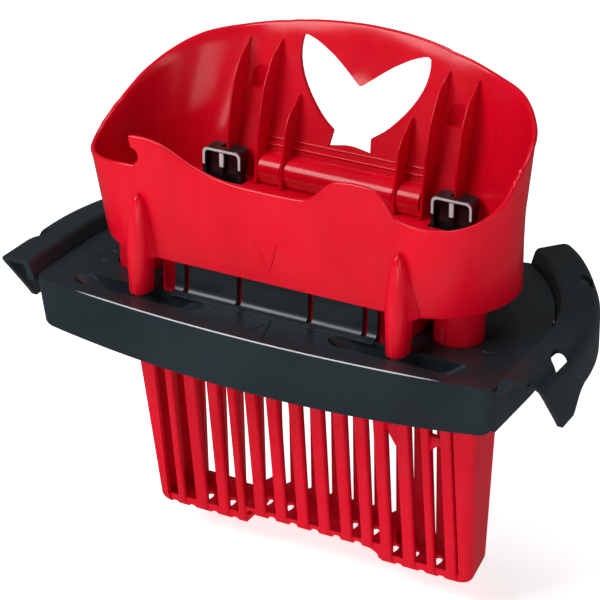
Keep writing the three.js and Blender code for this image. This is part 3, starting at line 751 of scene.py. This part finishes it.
def basket_skin(inset, top, bottom, radius=6.5, round_foot=0.0):
    rings = []
    levels = [bottom + round_foot * (1 - math.cos(math.pi * k / 12)) for k in range(6)] if round_foot else []
    levels += [lerp(bottom + round_foot, top, k / 8) for k in range(9)]
    for z in levels:
        share = basket_share(z)
        under = max(0.0, (bottom + round_foot - z) / round_foot) if round_foot else 0.0
        shrink = inset + round_foot * (1 - math.sqrt(max(0.0, 1 - under ** 2)))
        front_half, back_half = lerp(86.0, 91.6, share) - shrink, lerp(81.6, 88.2, share) - shrink
        tuck = lerp(inset, shrink, 0.7)
        front, back = basket_front(z) + tuck, lerp(79.6, 75.3, share) - tuck
        corners = [(front_half, front), (back_half, back), (-back_half, back), (-front_half, front)]
        r = max(1.0, radius - inset)
        rings.append([(x, y, z) for x, y in rounded(corners, [r, r * 0.5, r * 0.5, r], 6)])
    return loft(rings)


def slot_prism(x0, x1, y0, y1, bottom, top, slant=0.0):
    outline = [(x0, bottom), (x1, bottom + slant), (x1, top - 2),
               (x1 - 1.2, top), (x0 + 1.2, top), (x0, top - 2)]
    return prism_y(outline, y0, y1)


def slat(x0, x1, foot):
    """Upright slat: flat face, rounded right flank that deepens upwards, and a rounded foot."""
    rings = []
    bend = min(1.7, (x1 - x0) * 0.4)
    for z in [foot, foot + 0.25, foot + 0.7, foot + 1.5] + [lerp(foot + 4, -28, k / 8) for k in range(9)]:
        tuck = 1.3 * (1 - math.sqrt(max(0.0, 1 - max(0.0, (foot + 1.5 - z) / 1.5) ** 2)))
        y = basket_front(z) + tuck
        deep = basket_front(z) + lerp(2.7, 6.2, (z - foot) / (-28 - foot))
        ring = [(x0 + 0.9, deep), (x0, y + 1.6), (x0 + 0.12, y + 0.5), (x0 + 0.55, y)]
        ring += [(x1 - bend + bend * math.sin(math.pi * k / 10),
                  y + bend * 1.1 * (1 - math.cos(math.pi * k / 10)))
                 for k in range(6)]
        ring.append((x1, deep))
        rings.append([(a, b, z) for a, b in ring])
    return loft(rings)


def build_basket():
    body = to_object("basket", basket_skin(0, BASKET_TOP, FOOT_Z, round_foot=4.5))
    combine(body, basket_skin(2.6, BASKET_TOP - 2.4, FOOT_Z + 1.7), "DIFFERENCE")
    raised = to_object("raised", basket_skin(1, -130.7, FOOT_Z + 1))
    combine(raised, block(-38, 38, 30, 90, FOOT_Z, 0), "INTERSECT")
    combine(body, as_skin(raised), "UNION")
    notch = rounded([(-36.5, FOOT_Z - 5), (36.5, FOOT_Z - 5), (36.5, BASKET_MIDDLE - 2.5),
                     (32.0, BASKET_MIDDLE), (-32.0, BASKET_MIDDLE), (-36.5, BASKET_MIDDLE - 2.5)],
                    [0, 0, 2, 2.5, 2.5, 2])
    combine(body, prism_y(notch, 30, 90), "DIFFERENCE")
    recess = [(basket_front(z) + 1.4, z) for z in (FOOT_Z - 3, -30)] + [(20, -30), (20, FOOT_Z - 3)]
    combine(body, prism_x(recess, -79.6, 79.8), "DIFFERENCE")
    edges = [-79.6] + [x for pair in SLATS for x in pair]
    gaps = [(edges[k], edges[k + 1]) for k in range(0, len(edges) - 1, 2)] + [(78.6, 79.8)]
    for x0, x1 in gaps:
        middle = (x0 + x1) / 2
        low = -128.7 if abs(middle) < 39 else -133.5
        combine(body, slot_prism(x0 - 0.3, x1 + 0.3, 15, 58, low, -31), "DIFFERENCE")
        if 12 < abs(middle) < 73:
            drain = prism_z(circle(2.7, 28, middle + 2.2, 65, squash=1.85), FOOT_Z - 2, FOOT_Z + 14)
            combine(body, drain, "DIFFERENCE")
        if x1 - x0 > 3:
            bottom = (BASKET_MIDDLE if abs(middle) < 36 else FOOT_Z) - 1
            dent = [(middle - 2.6, bottom), (middle + 2.6, bottom), (middle + 2.0, bottom + 2.0),
                    (middle + 0.9, bottom + 2.7), (middle - 0.9, bottom + 2.7),
                    (middle - 2.0, bottom + 2.0)]
            combine(body, prism_y(dent, 48, 56.6), "DIFFERENCE")
    for k, (x0, x1) in enumerate(BACK_SLOTS):
        inner = abs((x0 + x1) / 2) < 40
        low = -133 if k == 2 else -128 if inner else -131.8
        combine(body, slot_prism(x0, x1, 66, 92, low, -34, 3.8 if inner else 0.0), "DIFFERENCE")
    soften(body, 0.45, 2, 34, flat=0.2)
    slats = []
    for x0, x1 in SLATS:
        foot = -131.2 if abs(x0 + x1) < 74 else -137.6
        slats.append(slat(x0, x1, foot))
    web = [(44.2, -30), (50.6, -30), (50.6, -66.5), (49.6, -66.5), (44.2, -58)]
    tab = [(67.0, -56.5), (73.2, -57.5), (73.2, -61), (70.6, -62), (67.0, -65)]
    slats += [prism_y(outline, basket_front(-54) + 2.4, basket_front(-68) + 3.0) for outline in (web, tab)]
    slats = soften(to_object("slats", joined(slats)), 0, flat=0)
    mouth = prism_z(rounded(chute_outline(-2.4), 1.6), BASKET_TOP - 8, FLOOR_Z + 2)
    upper = carved("chute", prism_z(rounded(chute_outline(0), 2.5), BASKET_TOP - 1, FLOOR_Z - 0.3), [mouth])
    for x in SLIT_XS:
        combine(upper, block(x - 0.8, x + 0.8, 21.6, 25.4, 2, FLOOR_Z - 0.3), "UNION")
    for side in (-1, 1):
        for x, y in BOSSES:
            end = 60.5 if x < 70 else 79.0
            x0, x1 = min(x, end) - 3.6, max(x, end) + 3.6
            tab = rounded([(x0, y - 3.6), (x1, y - 3.6), (x1, y + 3.8), (x0, y + 3.8)], 1.6)
            combine(upper, prism_z([(side * a, b) for a, b in tab], FLOOR_Z - 3.3, FLOOR_Z - 0.3), "UNION")
    soften(upper, 0.4, 2, 34)
    combine(body, mouth, "DIFFERENCE")
    basket = merge("basket_moulding", [body, slats, upper])
    paint(basket, RED_BASKET_SHADED)
    place(basket, "carriage", "slatted_basket")


# ---------------------------------------------------------------- tray frame

DECK_HALF = 118.0
ARC_X, ARC_Y, ARC_R = 13.0, 42.0, 108.0


def bow(x):
    return -FRONT_BOW * (1 - (x / DECK_HALF) ** 2)


def rim_line(count):
    line = [(ARC_X + ARC_R, ARC_Y * k / 6, 1.0, 0.0) for k in range(7)]
    for k in range(1, count + 1):
        a = math.radians(51 * k / count)
        line.append((ARC_X + ARC_R * math.cos(a), ARC_Y + ARC_R * math.sin(a), math.cos(a), math.sin(a)))
    return line


def deck_outline(inset):
    half = DECK_HALF - inset
    right = []
    for k in range(33):
        x = (half - 6) * k / 32
        right.append((x, bow(x) + inset))
    start, corner, end = Vector(right[-1]), Vector((half, bow(half - 6) * 0.4 + inset)), Vector((half, 6.5))
    for k in range(1, 7):
        t = k / 6
        right.append(tuple(start * (1 - t) ** 2 + corner * 2 * t * (1 - t) + end * t * t))
    side = [(x - (3 + inset) * nx, y - (3 + inset) * ny) for x, y, nx, ny in rim_line(20)[1:]]
    right += side
    right.append((side[-1][0] - 6, 122 - inset))
    return right + [(-x, y) for x, y in reversed(right)][:-1]


def skirt_ring(inset, drop):
    ring = []
    for x, y in deck_outline(inset):
        side = min(1.0, abs(x) / DECK_HALF)
        depth = lerp(28, 24, side ** 2) * drop
        lift = 4.5 * max(0.0, (side - 0.93) / 0.07) ** 2 if drop > 0.9 and y < 6 else 0.0
        ring.append((x, y, -depth + lift))
    return ring


def hook_section(low, w):
    t = 7.0
    points = [(-3.2, -2.5), (-0.6, t - 1.4), (0.9, t), (w - 5, t), (w - 1.7, t - 1.7), (w, 1.5),
              (w + 0.2, low), (w + 0.2 - WALL, low), (w - WALL, 1.2), (w - 3.6, t - 3.8),
              (w - 5.4, t - 2.4), (2.4, t - 2.4), (0.4, -2.5)]
    radii = [0, 1.0, 0.9, 2.2, 1.8, 2.0, 0.6, 0.6, 1.5, 1.2, 1.2, 1.0, 0]
    return rounded(points, radii, 3)


def hook(side):
    rings = []
    for x, y, nx, ny in rim_line(36):
        width = lerp(17.5, 20.0, ease((math.asin(ny) - 0.55) / (math.radians(51) - 0.55)))
        rings.append([(side * (x + d * nx), y + d * ny, z) for d, z in hook_section(-27, width)])
    obj = to_object("hook", loft(rings))
    cut = [(2, 12), (2, 4.6), (10.6, -5.5), (22.9, -20.4), (26.6, -25.2), (27.6, -26), (39.4, -25.6),
           (41, -24.2), (45, -19), (48, -16.4), (52, -15), (150, -15), (150, -40), (-8, -40), (-8, 12)]
    outer = (132.6, 150) if side > 0 else (-150, -132.6)
    combine(obj, prism_x(cut, *outer), "DIFFERENCE")
    combine(obj, block(20 if side > 0 else -150, 150 if side > 0 else -20, 51.9, 150, -40, -15), "DIFFERENCE")
    house = rounded([(130, 31), (130.4, 37), (134.5, 36.6), (142, 33), (142, 22), (139.5, 18.1), (133, 25)],
                    [1.2, 1.8, 1.2, 0.6, 0.6, 0.6, 0.8], 5)
    square = rounded([(110.2, 110.4), (115.8, 111), (120.5, 102), (114.6, 100)], 0.8, 3)
    combine(obj, prism_z([(side * x, y) for x, y in house], 2, 12), "DIFFERENCE")
    combine(obj, prism_z([(side * x, y) for x, y in square], 2, 12), "DIFFERENCE")
    return soften(obj, 0.5, 3, 34, flat=0)


def boat(cx, half, width, z):
    outline = [(half, 0), (half - 5, width), (-half + 5, width),
               (-half, 0), (-half + 5, -width), (half - 5, -width)]
    return [(cx + a, 9.6 + b, z) for a, b in rounded(outline, [1.5, 4, 4, 1.5, 4, 4], 4)]


def build_tray():
    deck_edge = [(x, y, 0.0) for x, y in deck_outline(0)]
    shell = to_object("shell", loft([deck_edge, skirt_ring(1.1, 0.5), skirt_ring(2.2, 1.0)]))
    combine(shell, prism_z(deck_outline(4.6), -40, -2.5), "DIFFERENCE")
    for side in (-1, 1):
        walls = [(x, y) for x, y, z in boat(side * 67, 35, 7.1, 0)]
        combine(shell, prism_z(walls, -9, -1), "UNION")
        for x, y in LUGS:
            combine(shell, prism_z(circle(3.6, 24, side * x, y), -8.5, -1), "UNION")
    throat = [(52.4, 21.4), (52.4, 16.6), (65.1, 16.6), (65.1, 55.4), (82.2, 55.4), (82.2, 73.6)]
    throat += [(-x, y) for x, y in reversed(throat)]
    combine(shell, prism_z(rounded(throat, 1.2, 3), -4, 3), "DIFFERENCE")
    for side in (-1, 1):
        combine(shell, loft([boat(side * 67, 37, 5.9, 1.0), boat(side * 67, 25, 5.3, -7.4)]), "DIFFERENCE")
        x0, x1 = sorted((side * 59.2, side * 72.8))
        combine(shell, block(x0, x1, 3.6, 15.6, -10, -5), "DIFFERENCE")
        combine(shell, prism_z(circle(12.3, 64, side * SPRING_X, SPRING_Y), -4, 3), "DIFFERENCE")
    for side in (-1, 1):
        x0, x1 = sorted((side * 51.6, side * 65.6))
        combine(shell, block(x0, x1, 16.0, 21.9, -6, -4.2), "UNION")
    for x in SLIT_XS:
        combine(shell, block(x - 1.3, x + 1.3, 19, 27, -4, 1.5), "DIFFERENCE")
    soften(shell, 1.1, 5, 32, flat=0.2)
    section = [(13.8, -0.6), (13.8, 0.1), (15.2, 0.35), (16.4, 0.9), (17.4, 1.8), (18.1, 3.0),
               (18.4, 4.4), (18.4, 15.4), (21.4, 15.4), (21.4, -2.5), (17.6, -2.5)]
    collar = to_object("collar", prism_x(section, -52, 52))
    for x in SLIT_XS:
        combine(collar, block(x - 1.3, x + 1.3, 12, 27, 0.8, 40), "DIFFERENCE")
        combine(collar, block(x - 1.3, x + 1.3, 19, 27, -5, 1.5), "DIFFERENCE")
    soften(collar, 0.4, 3, 34)
    marks = []
    for side in (-1, 1):
        marks.append(ring_lathe([(4.9, -0.3), (5.5, -0.3), (5.4, 0.16), (5.0, 0.16)], side * 99, 36, 48))
        for cx, cy, length in ((109, 60, 9), (105, 76, 7)):
            marks.append(loft([[(side * (x - 0.5), y, -0.3), (side * (x + 0.5), y, -0.3), (side * x, y, 0.14)]
                               for x, y in ((cx, cy), (cx - 3, cy + length))]))
    for x0, y0, x1, y1 in ((-5.4, -6.3, 0.8, 7.2), (6.9, -6.3, 1.6, 12.2)):
        run = Vector((x1 - x0, y1 - y0)).normalized()
        off = Vector((-run.y, run.x)) * 0.9
        marks.append(loft([[(x - off.x, y - off.y, -0.3), (x + off.x, y + off.y, -0.1), (x, y, 0.42)]
                           for x, y in ((x0, y0), (x1, y1))]))
    details = soften(to_object("details", joined(marks)), 0, flat=0)
    tray = merge("tray_moulding", [shell, collar, details, hook(1), hook(-1)])
    paint(tray, BLACK)
    # Pale bead along the deck's front edge, coloured as a painted highlight in place of the edge's
    # reflection.
    rings = []
    for k in range(97):
        x = lerp(-111.5, 111.5, k / 96)
        thick = 0.34 * min(1.0, 0.05 + 6 * k / 96, 0.05 + 6 * (96 - k) / 96)
        rings.append([(x, bow(x) + 0.2 + thick * math.cos(b), -0.18 + thick * math.sin(b))
                      for b in (math.pi * j / 4 for j in range(8))])
    bead = paint(soften(to_object("bead", loft(rings)), 0, flat=0), EDGE_HIGHLIGHT_PAINT)
    tray = merge("tray_moulding", [tray, bead])
    place(tray, "frame", "tray_frame")


# ---------------------------------------------------------------- guide towers

def build_tower(label, side):
    half, front, top = 10.35, 75.0, 47.5
    outline = rounded([(-half, 0.3), (half, 0.3), (half, top), (-half, top)], [0.4, 0.4, 3.4, 3.4], 6)
    cx = side * TOWER_X
    body = to_object("tower", prism_y([(cx + x, z) for x, z in outline], front, 85))
    profile = [(front - 1, 0), (79.6, 0), (79.6, 33), (84.4, top + 0.5), (front - 1, top + 0.5)]
    combine(body, prism_x(profile, cx - 12, cx + 12), "INTERSECT")
    pocket = rounded([(-half + 1.7, 19), (half - 1.7, 19), (half - 1.7, top - 1.7), (-half + 1.7, top - 1.7)],
                     [0.3, 0.3, 2.0, 2.0], 5)
    combine(body, prism_y([(cx + x, z) for x, z in pocket], front - 1, front + 2.6), "DIFFERENCE")
    combine(body, block(cx - 0.8, cx + 0.8, front, front + 3, 35, top - 1), "UNION")
    combine(body, block(cx - 2.3, cx + 2.3, front + 3.4, 90, -1, top + 2), "DIFFERENCE")
    soften(body, 0.45, 3, 34)
    paint(body, BLACK_TOWER)
    inner = rounded([(-half + 1.5, 1.2), (half - 1.5, 1.2),
                     (half - 1.5, top - 1.5), (-half + 1.5, top - 1.5)], [0.3, 0.3, 2.2, 2.2], 6)
    # Rim ring on the tower's front, coloured with the painted pale sheen.
    rim = carved("rim", prism_y([(cx + x, z) for x, z in outline], front - 0.05, front + 0.9),
                 [prism_y([(cx + x, z) for x, z in inner], front - 2, front + 3)])
    combine(rim, block(cx - 1.15, cx + 1.15, front - 0.03, front + 0.9, 19, top - 0.8), "UNION")
    combine(rim, block(cx - 12, cx + 12, front - 2, front + 3, -2, 38.5), "DIFFERENCE")
    paint(soften(rim, 0.25, 2, 34), RIM_SHEEN_PAINT)
    body = merge(label + "_tower_moulding", [body, rim])
    place(body, "frame", label + "_guide_tower")


# ---------------------------------------------------------------- springs, sleeves, cups and screws

def build_sleeve(label, side):
    profile = [(9.8, 27.2), (9.8, -1.0), (10.1, -1.5), (11.2, -1.5), (11.7, -1.0), (11.7, 29.3),
               (11.4, 29.7), (1.6, 29.7), (1.6, 27.2)]
    obj = to_object(label + "_sleeve_moulding", ring_lathe(profile, side * SPRING_X, SPRING_Y, 96))
    paint(soften(obj, 0.25, 2, 34, flat=0), RED)
    place(obj, "carriage", label + "_spring_sleeve")


def build_cup(label, side):
    centre = Vector((side * SPRING_X, SPRING_Y))
    profile = [(12.3, -3.0), (12.3, -19.4), (11.7, -20.0), (2.0, -20.0), (2.0, -22.0), (12.6, -22.0),
               (13.7, -20.9), (13.7, -2.9)]
    cup = soften(to_object("cup", ring_lathe(profile, centre.x, centre.y, 96)), 0.3, 2, 34, flat=0)
    lugs = []
    for x, y in LUGS:
        end = Vector((side * x, y))
        toward = (end - centre).normalized()
        start = centre + toward * 12.6
        across = Vector((-toward.y, toward.x)) * 3.6
        outline = [tuple(start - across), tuple(end - across)]
        base = math.atan2(-across.y, -across.x)
        outline += [(side * x + 3.6 * math.cos(base + math.pi * k / 8),
                     y + 3.6 * math.sin(base + math.pi * k / 8)) for k in range(1, 8)]
        outline += [tuple(end + across), tuple(start + across)]
        lug = carved("lug", prism_z(outline, -11.8, -8.8), [prism_z(circle(1.5, 20, side * x, y), -14, -6)])
        lugs.append(soften(lug, 0.3, 2, 34))
    obj = merge(label + "_cup_moulding", [cup] + lugs)
    paint(obj, BLACK)
    place(obj, "frame", label + "_spring_cup")


def build_spring(label, side):
    """Plain helix of even pitch between the ends of the spring's place in the frame."""
    low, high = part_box(label + "_return_spring")
    wire = 0.8
    z0 = low.z * 1000 + Z_SHIFT + wire
    z1 = high.z * 1000 + Z_SHIFT - wire
    turns, steps = 7, 7 * 40
    rings = []
    for k in range(steps + 1):
        t = k / steps
        a = 2 * math.pi * turns * t
        z = lerp(z0, z1, t)
        ring = []
        for j in range(12):
            b = 2 * math.pi * j / 12
            r = 7.6 + wire * math.cos(b)
            x, y = side * SPRING_X + r * math.cos(a), SPRING_Y + r * math.sin(a)
            ring.append((x, y, z + wire * math.sin(b)))
        rings.append(ring)
    obj = to_object(label + "_spring_wire", loft(rings))
    soften(obj, 0, flat=0)
    paint(obj, WIRE)
    place(obj, "frame", label + "_return_spring")
    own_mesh(obj)


def build_screw(node, body):
    """Screw driven upwards: pan head with a cross recess at the bottom, helical ridge on the shaft."""
    low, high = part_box(node)
    x = (low.x + high.x) * 500
    y = (low.y + high.y) * 500 + Y_SHIFT
    z = low.z * 1000 + Z_SHIFT
    top = high.z * 1000 + Z_SHIFT
    head = [(0, z), (1.5, z), (2.3, z + 0.25), (2.8, z + 0.8), (2.9, z + 1.3), (2.9, z + 1.9),
            (1.15, z + 1.9), (1.15, top - 0.8), (0.45, top), (0, top)]
    obj = to_object(node + "_metal", lathe(head, x, y, 40))
    for turn in (0, 1):
        arm = [(-1.6, -0.35), (1.6, -0.35), (1.6, 0.35), (-1.6, 0.35)]
        arm = [(x + (b if turn else a), y + (a if turn else b)) for a, b in arm]
        combine(obj, prism_z(arm, z - 0.5, z + 1.0), "DIFFERENCE")
    soften(obj, 0.12, 2, 34, flat=0.2)
    rings = []
    turns = 6
    start, end = z + 2.4, top - 1.0
    for k in range(turns * 20 + 1):
        t = k / (turns * 20)
        a = 2 * math.pi * turns * t
        zc = lerp(start, end, t)
        grow = 0.3 * min(1, t * 8, (1 - t) * 8) + 0.02
        ring = [(1.05, zc - 0.3), (1.1 + grow, zc), (1.05, zc + 0.3)]
        rings.append([(x + r * math.cos(a), y + r * math.sin(a), zz) for r, zz in ring])
    thread = soften(to_object("thread", loft(rings)), 0, flat=0)
    obj = merge(node + "_metal", [obj, thread])
    paint(obj, ZINC)
    place(obj, body, node)


# ---------------------------------------------------------------- stage, light and camera

FLOOR_DROP = -0.0148  # metres: clears the basket when it is pressed 14 mm


def build_stage():
    floor = bpy.data.meshes.new("floor")
    span = 6.0
    corners = [(-span, -span, 0), (span, -span, 0), (span, span, 0), (-span, span, 0)]
    floor.from_pydata(corners, [], [(0, 1, 2, 3)])
    obj = bpy.data.objects.new("floor", floor)
    bpy.context.scene.collection.objects.link(obj)
    obj.location.z = FLOOR_DROP
    obj.visible_glossy = False
    n = Nodes("pale_floor")
    n.link(n.ramp(n.noise(6, 3, 0.5), [(0.3, (0.9, 0.9, 0.9)), (0.7, (0.93, 0.93, 0.93))]),
           n.shader.inputs["Base Color"])
    n.shader.inputs["Roughness"].default_value = 0.9
    n.shader.inputs["Specular IOR Level"].default_value = 0.1
    n.shader.inputs["Emission Color"].default_value = (1, 1, 1, 1)
    n.shader.inputs["Emission Strength"].default_value = 0.72
    obj.data.materials.append(n.material)


def area_light(name, position, target, size, power):
    lamp = bpy.data.lights.new(name, "AREA")
    lamp.shape = "RECTANGLE"
    lamp.size, lamp.size_y = size
    lamp.energy = power
    obj = bpy.data.objects.new(name, lamp)
    bpy.context.scene.collection.objects.link(obj)
    obj.location = position
    aim = target - position
    obj.rotation_mode = "QUATERNION"
    obj.rotation_quaternion = aim.to_track_quat("-Z", "Y")
    return obj


def build_lights():
    world = bpy.data.worlds.new("studio")
    bpy.context.scene.world = world
    world.use_nodes = True
    world.node_tree.nodes["Background"].inputs["Color"].default_value = (1, 1, 1, 1)
    world.node_tree.nodes["Background"].inputs["Strength"].default_value = 0.08
    centre = Vector((0, 0, 0.13))

    def studio(name, x, y, z, distance, size, power):
        area_light(name, centre + Vector((x, y, z)).normalized() * distance, centre, size, power)

    studio("key", -0.46, -0.56, 0.66, 1.6, (0.9, 0.8), 17)
    studio("top", 0.05, 0.1, 1.0, 1.5, (0.9, 0.7), 7)
    studio("side", 0.84, -0.48, 0.25, 1.5, (0.3, 0.8), 1.5)
    studio("low_front", 0.42, -0.9, 0.04, 1.6, (0.6, 0.4), 2.2)
    studio("strip", -0.1, -0.98, 0.14, 1.7, (0.05, 0.4), 1.1)
    view = bpy.context.scene.view_settings
    view.view_transform = "Standard"
    view.look = "None"
    view.exposure = 0.0
    view.gamma = 1.0


def build_camera():
    azimuth, elevation = math.radians(28.6), math.radians(26.3)
    back = Vector((math.sin(azimuth) * math.cos(elevation), -math.cos(azimuth) * math.cos(elevation),
                   math.sin(elevation)))
    look = at(14.9, 15.1, 12.4)
    camera = bpy.data.objects.new("camera", bpy.data.cameras.new("camera"))
    bpy.context.scene.collection.objects.link(camera)
    camera.data.sensor_width = 36
    camera.data.lens = 36 * 2612 / 600  # the fitted focal length, as a share of the picture's width
    camera.data.clip_start, camera.data.clip_end = 0.05, 30
    camera.location = look + back * 1.1662
    camera.rotation_mode = "QUATERNION"
    camera.rotation_quaternion = (-back).to_track_quat("-Z", "Y")
    bpy.context.scene.camera = camera


build_camera()
build_funnel()
build_basket()
build_tray()
for label, side in (("left", -1), ("right", 1)):
    build_tower(label, side)
    build_sleeve(label, side)
    build_cup(label, side)
    build_spring(label, side)
    for node in ("tower_screw", "cup_screw_1", "cup_screw_2"):
        build_screw(f"{label}_{node}", "frame")
    for node in ("sleeve_screw", "basket_screw_1", "basket_screw_2"):
        build_screw(f"{label}_{node}", "carriage")
build_stage()
build_lights()

bpy.context.view_layer.update()
